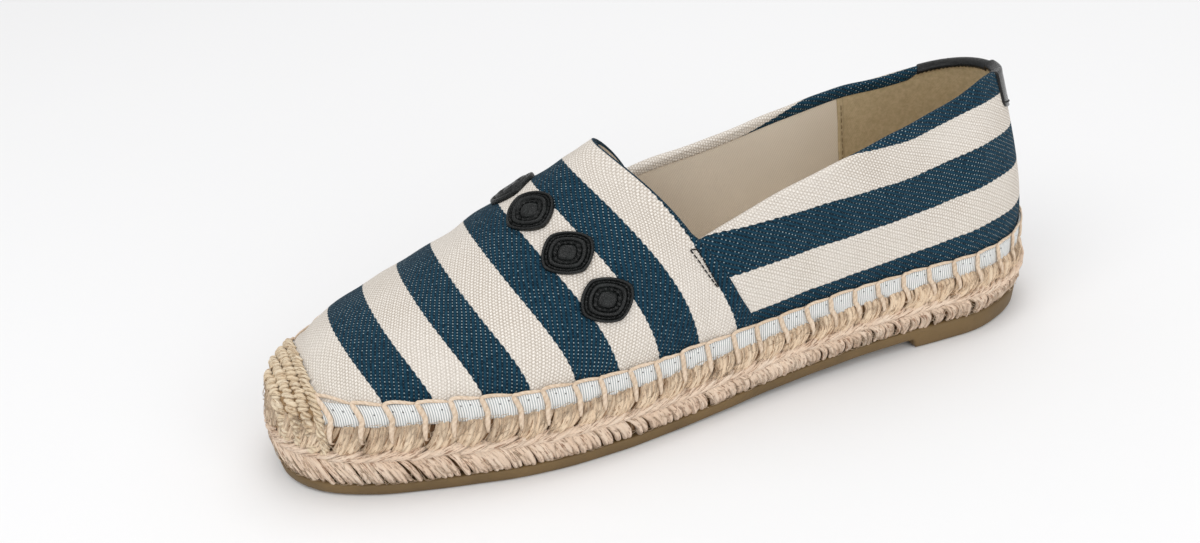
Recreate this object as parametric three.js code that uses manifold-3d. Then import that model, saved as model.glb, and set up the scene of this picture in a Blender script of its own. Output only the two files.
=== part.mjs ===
// A slip-on espadrille for the left foot, in millimetres, +Z up.
// The toe points to -Y, the heel to +Y, and the outer side of the foot to +X. The shoe stands on z = 0,
// and the origin is under the middle of its outline.
//
// "at" is a place along the foot, 0 at the back of the heel and 1 at the tip of the toe.
// "side" is +1 on the outer side of the foot and -1 on the inner side.
// "turn" is an angle up the upper's section: 0 at its foot, 90 degrees on the ridge of the vamp.

import * as THREE from 'three';
import { mergeVertices } from 'three/addons/utils/BufferGeometryUtils.js';
import Module from 'manifold-3d';

const wasm = await Module();
wasm.setup();

// ---------------------------------------------------------------- driving dimensions

const LENGTH = 250.5; // the sole's outline, toe to heel
const GAP = 0.3; // clearance between neighbouring pieces
const CURVED_GAP = 0.45; // the same between curved faces, whose facets come a little closer

const RUBBER = 4; // thickness of the outsole in front of the heel
const HEEL_LIFT = 3.2; // how much the heel raises the foot
const HEEL_BREAST = 0.204; // where the heel's front face is
const BREAST_SLOPE = 0.004; // length of that face along the foot
const ARCH_FRONT = 0.62; // where the raised waist comes down to the forefoot
const ARCH_LENGTH = 0.42;
const SPRING_START = 0.84; // where the toe begins to lift
const TOE_SPRING = 1;

const ROPE_BULGE = 0.5; // how far the rope band swells past the outline
const ROPE_EDGE = 0.8; // how far its top edge is drawn in
const RUBBER_TOP_INSET = 0.5;
const RUBBER_FOOT_INSET = 1.1;

const FOOT_INSET = 2; // the upper's foot, in from the outline
const WALL = 2.2; // canvas and lining together
const VAMP_EDGE = 0.468; // foot of the vamp's back edge
const ROUND_ACROSS = 1.1; // powers of a section's superellipse
const ROUND_UP = 0.93;
const HEEL_STAND = 1.4; // the heel's back starts this far out,
const HEEL_SWELL = 2.2; // swells out low down
const HEEL_TUCK = 7.3; // and comes in at the collar
const TUCK_END = 0.3; // where that curve has died away

const INSOLE = 3;
const INSOLE_EASE = 0.8; // room between the footbed and the lining
const INSOLE_END = 0.94; // the footbed stops short of the toe
const INSOLE_ROUND = { length: 36, power: 2.2 };
const CAP_THICKNESS = 1.2; // woven toe cap, proud of the canvas
const CAP_EDGE = 0.945; // its back edge on the ridge
const CAP_BACK = 6; // how far that edge runs back towards the sides
const TAB_THICKNESS = 0.9; // leather folded over the back of the collar
const TAB_END = 0.052;
const TAB_GAP = 0.65; // room between it and the canvas
const TAB_OUTSIDE = 12; // its depth outside and inside
const TAB_INSIDE = 2.4;

// The sole's outline: half width, and the shift of its centre to the outer side.
const LAST = [
  { at: 0, half: 30.4, shift: 0 },
  { at: 0.16, half: 30.2, shift: 0.2 },
  { at: 0.28, half: 29.2, shift: 2.2 },
  { at: 0.4, half: 31.3, shift: 3 },
  { at: 0.52, half: 38.3, shift: 0.8 },
  { at: 0.62, half: 43.9, shift: -1.2 },
  { at: 0.72, half: 44.6, shift: -0.9 },
  { at: 0.84, half: 42.2, shift: 0.6 },
  { at: 1, half: 41.8, shift: 5.8 },
];
const TOE_ROUND = { length: 83, power: 2.16 };
const HEEL_ROUND = { length: 34, power: 1.9 };

// Thickness of the rope band.
const ROPE = [
  { at: 0, thick: 16.2 },
  { at: 0.4, thick: 15.9 },
  { at: 1, thick: 21.2 },
];

// The upper's sections: crown is the height at which a section would close over the foot, flare is how
// far the side swells outwards for each 40 mm of height, and lean is how far it tips to the toe on the ridge.
const SECTIONS = [
  { at: 0, crown: 104, flare: 0, lean: 0 },
  { at: 0.06, crown: 90, flare: 0, lean: 0 },
  { at: 0.13, crown: 88, flare: 0.6, lean: 0 },
  { at: 0.21, crown: 108, flare: 2, lean: 0 },
  { at: 0.3, crown: 118, flare: 2.8, lean: 1 },
  { at: 0.39, crown: 92, flare: 1.8, lean: 14 },
  { at: 0.48, crown: 58, flare: 0.5, lean: 28 },
  { at: 0.56, crown: 47.5, flare: 0, lean: 25.5 },
  { at: 0.64, crown: 37.5, flare: 0, lean: 21.5 },
  { at: 0.72, crown: 28.5, flare: 0, lean: 17.5 },
  { at: 0.8, crown: 21.5, flare: 0, lean: 13.5 },
  { at: 0.88, crown: 15, flare: 0, lean: 9 },
  { at: 0.95, crown: 7, flare: 0, lean: 4 },
  { at: 1, crown: 5, flare: 0, lean: 0 },
];
const TOE_ROLL = { length: 18, power: 2.2 }; // the vamp rounds down to the toe's tip

// Height of the collar above the rope, on the outer and the inner side of the foot.
const COLLAR = [
  { at: 0, outer: 54.4, inner: 54.4 },
  { at: 0.05, outer: 57.2, inner: 51.2 },
  { at: 0.12, outer: 55.1, inner: 46.8 },
  { at: 0.2, outer: 52.8, inner: 45 },
  { at: 0.3, outer: 48.6, inner: 41.8 },
  { at: 0.4, outer: 41.5, inner: 38.2 },
  { at: VAMP_EDGE, outer: 34, inner: 36 },
];

// Steps of the meshes.
const QUARTER_STEPS = 16;
const VAMP_STEPS = 18;
const LOW_ROWS = 6; // rows up to the height of the collar
const HIGH_ROWS = 8; // rows from there to the ridge
const SOLE_STEPS = 30;
const TAB_STEPS = 7;

// ---------------------------------------------------------------- curves

const clamp = (value) => Math.min(Math.max(value, 0), 1);

const ease = (value) => clamp(value) ** 2 * (3 - 2 * clamp(value));

// The height of a rounded end: 0 at its tip and 1 from "length" onwards.
const roundEnd = (distance, { length, power }) => (1 - (1 - clamp(distance / length)) ** power) ** (1 / power);

// A table's column as a smooth curve through its rows.
function along(table, column, at) {
  const last = table.length - 2;
  const found = table.findIndex((row, i) => i <= last && at <= table[i + 1].at);
  const k = found < 0 ? last : found;
  const span = (i) => table[i + 1].at - table[i].at;
  const rise = (i) => (table[i + 1][column] - table[i][column]) / span(i);
  const slope = (i) => {
    if (i === 0 || i > last) return rise(Math.min(i, last));
    return (rise(i - 1) * span(i) + rise(i) * span(i - 1)) / (span(i - 1) + span(i));
  };
  const u = clamp((at - table[k].at) / span(k));
  const [a, b] = [table[k][column], table[k + 1][column]];
  const [m, n] = [slope(k) * span(k), slope(k + 1) * span(k)];
  return a + u * m + u * u * (3 * (b - a) - 2 * m - n) + u ** 3 * (2 * (a - b) + m + n);
}

// The middle of the outline at a place, before the shoe is centred on its origin.
const centreOf = (at) => along(LAST, 'shift', at);

// Half width of the outline, drawn in by "inset" all round; "place" runs from heel to toe along it.
const stationOf = (place, inset) => 0.5 + ((LENGTH / 2 - inset) * (2 * place - 1)) / LENGTH;

function halfWidth(place, inset) {
  const span = LENGTH - 2 * inset;
  const rounded = roundEnd(place * span, HEEL_ROUND) * roundEnd((1 - place) * span, TOE_ROUND);
  return (along(LAST, 'half', stationOf(place, inset)) - inset) * rounded;
}

// How far the outline's bounding box is off the heel's centre line.
function outlineMiddle() {
  const places = Array.from({ length: 400 }, (_, i) => i / 399);
  const edge = (side) => places.map((p) => side * centreOf(stationOf(p, -ROPE_BULGE)) + halfWidth(p, -ROPE_BULGE));
  return (Math.max(...edge(1)) - Math.max(...edge(-1))) / 2;
}

const MIDDLE = outlineMiddle();

// Underside of the outsole, top of the outsole and top of the rope band.
const lifted = (at) => HEEL_LIFT * ease((ARCH_FRONT - at) / ARCH_LENGTH)
  + TOE_SPRING * clamp((at - SPRING_START) / (1 - SPRING_START)) ** 2;
const rubberTop = (at) => RUBBER + lifted(at);
const rubberFoot = (at) => lifted(at) * clamp((at - HEEL_BREAST) / BREAST_SLOPE);
const ropeTop = (at) => rubberTop(at) + along(ROPE, 'thick', at);

// ---------------------------------------------------------------- meshes

// Points and triangles of one closed body, with its faces pointing out.
class Body {
  constructor() {
    this.points = [];
    this.faces = [];
  }

  point(vector) {
    this.points.push(vector);
    return this.points.length - 1;
  }

  quad(a, b, c, d, flip = false) {
    const [near, far] = flip ? [d, b] : [b, d];
    this.faces.push([a, near, c], [a, c, far]);
  }

  geometry() {
    const geometry = new THREE.BufferGeometry();
    const flat = this.points.flatMap((p) => [p.x, p.y, p.z]);
    geometry.setAttribute('position', new THREE.Float32BufferAttribute(flat, 3));
    geometry.setIndex(this.faces.filter(([a, b, c]) => a !== b && b !== c && c !== a).flat());
    return geometry;
  }
}

// A ring round the outline, by pairs of points that share a place: [outer side, inner side].
function outlineRing(body, places, inset, height) {
  return places.map((place) => {
    const at = stationOf(place, inset);
    const centre = centreOf(at) - MIDDLE;
    const half = halfWidth(place, inset);
    const corner = (side) => new THREE.Vector3(centre + side * half, LENGTH * (0.5 - at), height(at));
    const outer = body.point(corner(1));
    const atTip = half < 1e-6;
    return [outer, atTip ? outer : body.point(corner(-1))];
  });
}

// A closed body through rings stacked from the bottom up.
function stack(body, rings) {
  for (let i = 0; i < rings[0].length - 1; i += 1) {
    for (let k = 0; k < rings.length - 1; k += 1) {
      const [low, high] = [rings[k], rings[k + 1]];
      body.quad(low[i][0], high[i][0], high[i + 1][0], low[i + 1][0]);
      body.quad(low[i][1], high[i][1], high[i + 1][1], low[i + 1][1], true);
    }
    const [floor, roof] = [rings[0], rings[rings.length - 1]];
    body.quad(floor[i][0], floor[i + 1][0], floor[i + 1][1], floor[i][1]);
    body.quad(roof[i][0], roof[i + 1][0], roof[i + 1][1], roof[i][1], true);
  }
  return body.geometry();
}

const rounded = (count) => Array.from({ length: count + 1 }, (_, i) => (1 - Math.cos((Math.PI * i) / count)) / 2);

function solidOf(geometry) {
  const merged = mergeVertices(geometry, 1e-4);
  return new wasm.Manifold(new wasm.Mesh({
    numProp: 3,
    vertProperties: new Float32Array(merged.attributes.position.array),
    triVerts: new Uint32Array(merged.index.array),
  }));
}

function geometryOf(solid) {
  const mesh = solid.getMesh();
  const geometry = new THREE.BufferGeometry();
  geometry.setAttribute('position', new THREE.Float32BufferAttribute(mesh.vertProperties, 3));
  geometry.setIndex(Array.from(mesh.triVerts));
  return geometry;
}

// ---------------------------------------------------------------- the upper's form

const THROAT_PLACE = (VAMP_EDGE - 0.5) * (LENGTH / (LENGTH - 2 * FOOT_INSET)) + 0.5;
const toeTip = 1 - FOOT_INSET / LENGTH;
const crownAt = (at) => along(SECTIONS, 'crown', at) * roundEnd((toeTip - at) * LENGTH, TOE_ROLL);
const heightAt = (at, turn) => crownAt(at) * Math.sin(turn) ** ROUND_UP;
const turnAt = (at, height) => Math.asin(clamp(height / crownAt(at)) ** (1 / ROUND_UP));
const collarHeight = (side, at) => along(COLLAR, side > 0 ? 'outer' : 'inner', at);

// A point of the upper's outer face.
function skin(side, place, turn) {
  const at = stationOf(place, FOOT_INSET);
  const height = heightAt(at, turn);
  const foot = halfWidth(place, FOOT_INSET);
  const flare = (along(SECTIONS, 'flare', at) * height) / 40;
  const half = (foot + flare * clamp(foot / 20)) * Math.cos(turn) ** ROUND_ACROSS;
  const leaning = along(SECTIONS, 'lean', at) * Math.sin(turn) ** 2;
  const u = height / COLLAR[0].outer;
  const swell = HEEL_STAND + HEEL_SWELL * Math.sin(Math.PI * u) * (1 - u);
  const tuck = (swell - (HEEL_STAND + HEEL_TUCK) * u ** 1.5) * ease(1 - at / TUCK_END);
  const y = LENGTH * (0.5 - at) - leaning + tuck;
  return new THREE.Vector3(centreOf(at) - MIDDLE + side * half, y, ropeTop(at) + GAP + height);
}

// The direction out of that face; on the centre line it is the mean of both sides.
function outward(side, place, turn) {
  const step = 1e-3;
  const p = Math.min(Math.max(place, 2 * step), 1 - 2 * step);
  const t = Math.min(Math.max(turn, 2 * step), Math.PI / 2 - 20 * step);
  const normal = (s) => {
    const forward = skin(s, p + step, t).sub(skin(s, p - step, t));
    const up = skin(s, p, t + step).sub(skin(s, p, t - step));
    return up.cross(forward).multiplyScalar(s).normalize();
  };
  const shared = place < step || place > 1 - step || turn > Math.PI / 2 - step;
  return shared ? normal(1).add(normal(-1)).normalize() : normal(side);
}

function offsetSkin(side, place, turn, grow) {
  const point = skin(side, place, turn);
  const foot = ropeTop(stationOf(place, FOOT_INSET)) + GAP;
  point.addScaledVector(outward(side, place, turn), grow);
  point.z = turn === 0 ? foot : Math.max(point.z, foot);
  return point;
}

const quarterPlaces = Array.from({ length: QUARTER_STEPS }, (_, i) => (
  THROAT_PLACE * (1 - Math.cos((Math.PI / 2) * (i / QUARTER_STEPS)))
));
const vampPlaces = Array.from({ length: VAMP_STEPS + 1 }, (_, i) => (
  THROAT_PLACE + (1 - THROAT_PLACE) * Math.sin((Math.PI / 2) * (i / VAMP_STEPS))
));
const PLACES = [...quarterPlaces, ...vampPlaces];

// The turns of one column's rows, up to the collar or over the vamp to the ridge.
function rowTurns(side, place) {
  const at = stationOf(place, FOOT_INSET);
  const onVamp = place >= THROAT_PLACE;
  const join = turnAt(VAMP_EDGE, collarHeight(side, VAMP_EDGE));
  const top = onVamp ? join : turnAt(at, collarHeight(side, at));
  const low = Array.from({ length: LOW_ROWS + 1 }, (_, j) => (top * j) / LOW_ROWS);
  const high = Array.from({ length: HIGH_ROWS }, (_, j) => join + ((Math.PI / 2 - join) * (j + 1)) / HIGH_ROWS);
  return onVamp ? [...low, ...high] : low;
}

// One face of the upper as a grid of columns for each side, which share the back, the toe and the ridge.
function sheet(body, grow, sink = 0) {
  const last = PLACES.length - 1;
  const tip = offsetSkin(1, 1, 0, grow);
  const tipFoot = body.point(tip.clone().setZ(tip.z - sink));
  const tipTop = sink > 0 ? body.point(tip) : tipFoot;
  const columns = (side, other) => PLACES.map((place, i) => rowTurns(side, place).map((turn, j) => {
    if (i === last) return j === 0 ? tipFoot : tipTop;
    if (other && (i === 0 || turn > Math.PI / 2 - 1e-9)) return other[i][j];
    const point = offsetSkin(side, place, turn, grow);
    if (j === 0) point.z -= sink;
    return body.point(point);
  }));
  const outer = columns(1, null);
  return { outer, inner: columns(-1, outer) };
}

// The faces of a sheet, pointing away from the foot unless flipped.
function skinFaces(body, { outer, inner }, flipped) {
  for (const [grid, flip] of [[outer, flipped], [inner, !flipped]]) {
    for (let i = 0; i < PLACES.length - 1; i += 1) {
      const rows = Math.min(grid[i].length, grid[i + 1].length) - 1;
      for (let j = 0; j < rows; j += 1) {
        body.quad(grid[i][j], grid[i][j + 1], grid[i + 1][j + 1], grid[i + 1][j], flip);
      }
    }
  }
}

// The whole form, filled, with its face moved out by "grow" and its foot lowered by "sink".
function filledForm(grow, sink) {
  const body = new Body();
  const grids = sheet(body, grow, sink);
  const { outer, inner } = grids;
  skinFaces(body, grids, false);
  for (let i = 0; i < PLACES.length - 1; i += 1) {
    body.quad(outer[i][0], outer[i + 1][0], inner[i + 1][0], inner[i][0]);
  }
  for (let i = 0; i < QUARTER_STEPS; i += 1) {
    body.quad(outer[i][LOW_ROWS], outer[i + 1][LOW_ROWS], inner[i + 1][LOW_ROWS], inner[i][LOW_ROWS], true);
  }
  for (let j = LOW_ROWS; j < LOW_ROWS + HIGH_ROWS; j += 1) {
    const [left, right] = [outer[QUARTER_STEPS], inner[QUARTER_STEPS]];
    body.quad(left[j], left[j + 1], right[j + 1], right[j], true);
  }
  return solidOf(body.geometry());
}

// ---------------------------------------------------------------- pieces

// The rubber sole, with a low heel whose front face steps up into the waist.
function outsole() {
  const body = new Body();
  const breast = [HEEL_BREAST, HEEL_BREAST + BREAST_SLOPE];
  const places = [...rounded(SOLE_STEPS), ...breast].sort((a, b) => a - b);
  return stack(body, [
    outlineRing(body, places, RUBBER_FOOT_INSET, rubberFoot),
    outlineRing(body, places, RUBBER_TOP_INSET, rubberTop),
  ]);
}

// The band of coiled rope, which swells between its two edges.
function midsole() {
  const body = new Body();
  const places = rounded(SOLE_STEPS);
  const levels = [0, 0.25, 0.5, 0.75, 1];
  return stack(body, levels.map((level) => {
    const inset = ROPE_EDGE - (ROPE_BULGE + ROPE_EDGE) * (1 - (2 * level - 1) ** 2);
    const height = (at) => rubberTop(at) + GAP + (ropeTop(at) - rubberTop(at) - GAP) * level;
    return outlineRing(body, places, inset, height);
  }));
}

// The canvas upper with its lining: one wall, open at the collar and underneath.
function upper() {
  const body = new Body();
  const face = sheet(body, 0);
  const lining = sheet(body, -WALL);
  skinFaces(body, face, false);
  skinFaces(body, lining, true);
  for (const [shell, lined, flip] of [[face.outer, lining.outer, false], [face.inner, lining.inner, true]]) {
    for (let i = 0; i < PLACES.length - 1; i += 1) {
      body.quad(shell[i][0], shell[i + 1][0], lined[i + 1][0], lined[i][0], flip);
    }
    for (let i = 0; i < QUARTER_STEPS; i += 1) {
      const [here, next] = [i, i + 1];
      body.quad(
        lined[here][LOW_ROWS], lined[next][LOW_ROWS], shell[next][LOW_ROWS], shell[here][LOW_ROWS], flip,
      );
    }
    const [edge, linedEdge] = [shell[QUARTER_STEPS], lined[QUARTER_STEPS]];
    for (let j = LOW_ROWS; j < LOW_ROWS + HIGH_ROWS; j += 1) {
      body.quad(linedEdge[j], linedEdge[j + 1], edge[j + 1], edge[j], flip);
    }
  }
  return body.geometry();
}

// The footbed: a plate that fills the upper's foot, with a rounded front.
function insole() {
  const body = new Body();
  const places = rounded(SOLE_STEPS).map((place) => place * INSOLE_END);
  const ring = (rise) => places.map((place) => {
    const at = stationOf(place, FOOT_INSET);
    const middle = centreOf(at) - MIDDLE;
    const narrowed = roundEnd((INSOLE_END - place) * LENGTH, INSOLE_ROUND);
    const corner = (side) => {
      const edge = offsetSkin(side, place, turnAt(at, rise), -(WALL + INSOLE_EASE));
      const height = ropeTop(0.5 - edge.y / LENGTH) + rise;
      return new THREE.Vector3(middle + (edge.x - middle) * narrowed, edge.y, height);
    };
    const outer = body.point(corner(1));
    const atTip = place === 0 || narrowed < 1e-6;
    return [outer, atTip ? outer : body.point(corner(-1))];
  });
  return stack(body, [ring(GAP), ring(GAP + INSOLE)]);
}

// The woven cap over the toe: what lies between two larger forms, in front of a curved edge.
function toeCap() {
  const between = filledForm(CURVED_GAP + CAP_THICKNESS, 0).subtract(filledForm(CURVED_GAP, 3));
  const outline = new THREE.Shape();
  const edge = LENGTH * (0.5 - CAP_EDGE);
  const reach = 60;
  outline.moveTo(-reach, edge + CAP_BACK);
  outline.quadraticCurveTo(0, edge - CAP_BACK, reach, edge + CAP_BACK);
  outline.lineTo(reach, -LENGTH);
  outline.lineTo(-reach, -LENGTH);
  outline.closePath();
  const cutter = new THREE.ExtrudeGeometry(outline, { depth: 100, bevelEnabled: false, curveSegments: 12 });
  cutter.deleteAttribute('normal');
  cutter.deleteAttribute('uv');
  return geometryOf(between.intersect(solidOf(cutter)));
}

// The leather tab folded over the back of the collar, as a strip with a hooked section.
function heelTab() {
  const body = new Body();
  const near = TAB_GAP;
  const far = TAB_GAP + TAB_THICKNESS;
  const section = (side, place) => {
    const at = stationOf(place, FOOT_INSET);
    const top = collarHeight(side, at);
    const outside = (down, off) => offsetSkin(side, place, turnAt(at, top - down), off);
    const inside = (down, off) => offsetSkin(side, place, turnAt(at, top - down), -WALL - off);
    const over = (point, rise) => point.setZ(point.z + rise);
    return [near, far].map((off) => [
      outside(TAB_OUTSIDE, off),
      outside(TAB_OUTSIDE / 2, off),
      over(outside(0, off), near / 2),
      over(outside(0, off / 2), off),
      over(inside(0, off / 2), off),
      over(inside(0, off), near / 2),
      inside(TAB_INSIDE / 2, off),
      inside(TAB_INSIDE, off),
    ].map((point) => body.point(point)));
  };
  const stations = [];
  for (let k = -TAB_STEPS; k <= TAB_STEPS; k += 1) {
    stations.push(section(k < 0 ? -1 : 1, TAB_END * (k / TAB_STEPS) ** 2));
  }
  for (let k = 0; k < stations.length - 1; k += 1) {
    const [near0, far0] = stations[k];
    const [near1, far1] = stations[k + 1];
    const last = near0.length - 1;
    for (let i = 0; i < last; i += 1) {
      body.quad(far0[i], far1[i], far1[i + 1], far0[i + 1], true);
      body.quad(near0[i], near1[i], near1[i + 1], near0[i + 1]);
    }
    body.quad(near0[0], near1[0], far1[0], far0[0], true);
    body.quad(near0[last], near1[last], far1[last], far0[last]);
  }
  for (const [[near0, far0], flip] of [[stations[0], false], [stations[stations.length - 1], true]]) {
    for (let i = 0; i < near0.length - 1; i += 1) {
      body.quad(near0[i], near0[i + 1], far0[i + 1], far0[i], flip);
    }
  }
  return body.geometry();
}

// ---------------------------------------------------------------- assembly

const FINISHES = {
  outsole: { color: 0x6b5433, roughness: 0.75, metalness: 0 },
  midsole: { color: 0xd2b083, roughness: 0.95, metalness: 0 },
  insole: { color: 0xb9aa96, roughness: 0.9, metalness: 0 },
  upper: { color: 0xdcd3c4, roughness: 0.95, metalness: 0 },
  toe_cap: { color: 0xd6bd8e, roughness: 0.95, metalness: 0 },
  heel_tab: { color: 0x151718, roughness: 0.35, metalness: 0 },
};

const MAKERS = {
  outsole,
  midsole,
  insole,
  upper,
  toe_cap: toeCap,
  heel_tab: heelTab,
};

const espadrille = new THREE.Group();
for (const [name, make] of Object.entries(MAKERS)) {
  const mesh = new THREE.Mesh(make(), new THREE.MeshStandardMaterial(FINISHES[name]));
  mesh.name = name;
  espadrille.add(mesh);
}

export default espadrille;
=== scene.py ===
import bpy
import numpy as np
from mathutils import Matrix, Vector


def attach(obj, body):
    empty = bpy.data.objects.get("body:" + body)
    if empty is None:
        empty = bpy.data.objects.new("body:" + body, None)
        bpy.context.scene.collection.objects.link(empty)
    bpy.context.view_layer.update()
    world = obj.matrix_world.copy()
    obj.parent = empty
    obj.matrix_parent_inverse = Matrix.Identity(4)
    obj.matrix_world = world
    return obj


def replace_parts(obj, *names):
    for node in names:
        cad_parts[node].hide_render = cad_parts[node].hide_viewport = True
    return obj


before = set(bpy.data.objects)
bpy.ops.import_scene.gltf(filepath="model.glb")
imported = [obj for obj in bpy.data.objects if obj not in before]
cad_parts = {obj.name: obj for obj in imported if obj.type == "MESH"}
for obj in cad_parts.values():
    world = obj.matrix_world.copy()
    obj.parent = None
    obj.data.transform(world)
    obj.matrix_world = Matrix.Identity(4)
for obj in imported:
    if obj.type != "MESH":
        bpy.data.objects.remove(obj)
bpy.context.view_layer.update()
rng = np.random.default_rng(7)
MM = 0.001
HALF_TURN = np.pi / 2

# ---------------------------------------------------------------- the shoe's form, as in the CAD


def table(names, rows):
    return dict(zip(names.split(), np.array(rows, float).T))


LENGTH = 250.5
GAP = 0.3
FOOT_INSET = 2.0
WALL = 2.2
VAMP_EDGE = 0.468
EDGE_CURL, CURL_REACH = 3.0, 0.038  # how far the throat's edge bends down at the ridge, and from where
TOE_ROUND, HEEL_ROUND, TOE_ROLL = (83, 2.16), (34, 1.9), (18, 2.2)
HEEL_BREAST = 0.204
BREAST_SLOPE = 0.004  # length of the heel's front face along the foot
RUBBER, HEEL_LIFT, ARCH_FRONT, ARCH_LENGTH = 4, 3.2, 0.62, 0.42
SPRING_START, SPRING_LENGTH, TOE_SPRING = 0.84, 0.16, 1
ROPE_BULGE, ROPE_EDGE = 0.5, 0.8  # how far the rope swells past the outline, and its edges are drawn in
CROWN_POWER, SIDE_POWER = 0.93, 1.1  # how square the upper's sections are
HEEL_STAND, HEEL_SWELL, HEEL_TUCK, TUCK_END = 1.4, 2.2, 7.3, 0.3  # the curve of the heel's back
LAST = table("at half shift", [
    (0.00, 30.4, 0.0), (0.16, 30.2, 0.2), (0.28, 29.2, 2.2), (0.40, 31.3, 3.0), (0.52, 38.3, 0.8),
    (0.62, 43.9, -1.2), (0.72, 44.6, -0.9), (0.84, 42.2, 0.6), (1.00, 41.8, 5.8),
])
ROPE = table("at thick", [(0, 16.2), (0.4, 15.9), (1, 21.2)])
SECTIONS = table("at crown flare lean", [
    (0.00, 104, 0, 0), (0.06, 90, 0, 0), (0.13, 88, 0.6, 0), (0.21, 108, 2, 0), (0.30, 118, 2.8, 1),
    (0.39, 92, 1.8, 14), (0.48, 58, 0.5, 28), (0.56, 47.5, 0, 25.5), (0.64, 37.5, 0, 21.5),
    (0.72, 28.5, 0, 17.5), (0.80, 21.5, 0, 13.5), (0.88, 15, 0, 9), (0.95, 7, 0, 4), (1.00, 5, 0, 0),
])
COLLAR = table("at outer inner", [
    (0.00, 54.4, 54.4), (0.05, 57.2, 51.2), (0.12, 55.1, 46.8), (0.20, 52.8, 45.0), (0.30, 48.6, 41.8),
    (0.40, 41.5, 38.2), (VAMP_EDGE, 34.0, 36.0),
])


def clamp(value):
    return np.clip(value, 0, 1)


def ease(value):
    value = clamp(value)
    return value * value * (3 - 2 * value)


def round_end(distance, end):
    length, power = end
    return (1 - (1 - clamp(distance / length)) ** power) ** (1 / power)


def along(rows, column, at):
    x, y = rows["at"], rows[column]
    span = np.diff(x)
    rise = np.diff(y) / span
    inner = (rise[:-1] * span[1:] + rise[1:] * span[:-1]) / (span[:-1] + span[1:])
    slope = np.concatenate([rise[:1], inner, rise[-1:]])
    k = np.clip(np.searchsorted(x, at) - 1, 0, len(x) - 2)
    u = clamp((at - x[k]) / span[k])
    a, b, m, n = y[k], y[k + 1], slope[k] * span[k], slope[k + 1] * span[k]
    return a + u * m + u * u * (3 * (b - a) - 2 * m - n) + u**3 * (2 * (a - b) + m + n)


def station(place, inset):
    return 0.5 + ((LENGTH / 2 - inset) * (2 * place - 1)) / LENGTH


def half_width(place, inset):
    span = LENGTH - 2 * inset
    rounded = round_end(place * span, HEEL_ROUND) * round_end((1 - place) * span, TOE_ROUND)
    return (along(LAST, "half", station(place, inset)) - inset) * rounded


def outline_middle():
    """How far the outline's bounding box is off the heel's centre line."""
    place = np.linspace(0, 1, 400)
    half, shift = half_width(place, -ROPE_BULGE), along(LAST, "shift", station(place, -ROPE_BULGE))
    return (np.max(half + shift) - np.max(half - shift)) / 2


MIDDLE = outline_middle()


def lifted(at):
    spring = TOE_SPRING * clamp((at - SPRING_START) / SPRING_LENGTH) ** 2
    return HEEL_LIFT * ease((ARCH_FRONT - at) / ARCH_LENGTH) + spring


def rubber_top(at):
    return RUBBER + lifted(at)


def rope_top(at):
    return rubber_top(at) + along(ROPE, "thick", at)


def broad(*values):
    return np.broadcast_arrays(*(np.asarray(v, float) for v in values))


def unit(vectors):
    return vectors / (np.linalg.norm(vectors, axis=-1, keepdims=True) + 1e-12)


def arc(points, axis=0):
    """Lengths along the points of a line, or of a grid's rows or columns."""
    steps = np.linalg.norm(np.diff(points, axis=axis), axis=-1)
    return np.concatenate([np.zeros_like(np.take(steps, [0], axis)), np.cumsum(steps, axis)], axis)


def crown_at(at):
    return along(SECTIONS, "crown", at) * round_end((1 - FOOT_INSET / LENGTH - at) * LENGTH, TOE_ROLL)


def turn_at(at, height):
    """How far round a section a height above the rope is: 0 at the foot and a quarter turn at the ridge."""
    return np.arcsin(clamp(height / np.maximum(crown_at(at), 1e-6)) ** (1 / CROWN_POWER))


def height_at(at, turn):
    return crown_at(at) * np.maximum(np.sin(turn), 0) ** CROWN_POWER


def collar_height(side, at):
    return np.where(side > 0, along(COLLAR, "outer", at), along(COLLAR, "inner", at))


THROAT = (VAMP_EDGE - 0.5) * (LENGTH / (LENGTH - 2 * FOOT_INSET)) + 0.5


def skin(side, place, turn):
    """A point on the upper's outside; side is 1 on the outer side and -1 on the inner one."""
    side, place, turn = broad(side, place, turn)
    at = station(place, FOOT_INSET)
    height = height_at(at, turn)
    foot = half_width(place, FOOT_INSET)
    flare = along(SECTIONS, "flare", at) * height / 40
    half = (foot + flare * clamp(foot / 20)) * np.maximum(np.cos(turn), 0) ** SIDE_POWER
    leaning = along(SECTIONS, "lean", at) * np.sin(turn) ** 2
    u = height / COLLAR["outer"][0]
    swell = HEEL_STAND + HEEL_SWELL * np.sin(np.pi * u) * (1 - u)
    tuck = (swell - (HEEL_STAND + HEEL_TUCK) * u**1.5) * ease(1 - at / TUCK_END)
    x = along(LAST, "shift", at) - MIDDLE + side * half
    near_edge = clamp(1 - np.abs(at - VAMP_EDGE) / CURL_REACH) ** 2
    curl = EDGE_CURL * near_edge * np.maximum(np.sin(turn), 0) ** np.where(side > 0, 4.5, 1.8)
    return np.stack([x, LENGTH * (0.5 - at) - leaning + tuck, rope_top(at) + GAP + height - curl], -1)


def outward(side, place, turn):
    """The direction straight out of the upper's skin."""
    side, place, turn = broad(side, place, turn)
    step = 1e-3
    p = np.clip(place, 2 * step, 1 - 2 * step)
    t = np.clip(turn, 2 * step, HALF_TURN - 20 * step)

    def normal(s):
        forward = skin(s, p + step, t) - skin(s, p - step, t)
        up = skin(s, p, t + step) - skin(s, p, t - step)
        return unit(np.cross(up, forward) * s[..., None])

    # The two sides' directions are blended where they meet: at the ends and along the ridge.
    middle = np.maximum(1 - place / 0.004, 1 - (1 - place) / 0.004)
    middle = clamp(np.maximum(middle, 1 - (HALF_TURN - turn) / 0.02))[..., None] * 0.5
    return unit(normal(side) * (1 - middle) + normal(-side) * middle)


def off_skin(side, place, turn, grow):
    return skin(side, place, turn) + outward(side, place, turn) * np.asarray(grow)[..., None]


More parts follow.
